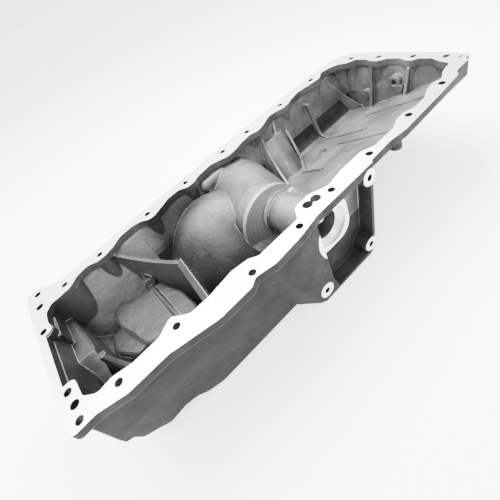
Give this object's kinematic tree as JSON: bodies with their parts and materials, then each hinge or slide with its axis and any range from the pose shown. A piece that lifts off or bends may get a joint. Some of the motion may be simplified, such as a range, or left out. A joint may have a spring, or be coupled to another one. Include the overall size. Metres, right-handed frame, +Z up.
{
  "type": "engine oil pan",
  "caption": "Cast aluminium engine oil pan with a deep front well, a sloping shallow rear floor, a cross tunnel for a drive shaft and a side mount for a final drive.",
  "frame": {"origin": "centre of the near front locating dowel hole, on the machined joint face that meets the crankcase", "axes": "+X along the pan from the deep front end to the gearbox end, +Y from the final-drive side to the far side, +Z up out of the joint face towards the crankcase"},
  "size_m": [0.617, 0.2537, 0.13],
  "materials": {
    "cast_aluminium": "satin as-cast skin with bright machined joint face and mount faces"
  },
  "bodies": {
    "root": {"pan_casting": "cast_aluminium"}
  },
  "joints": []
}
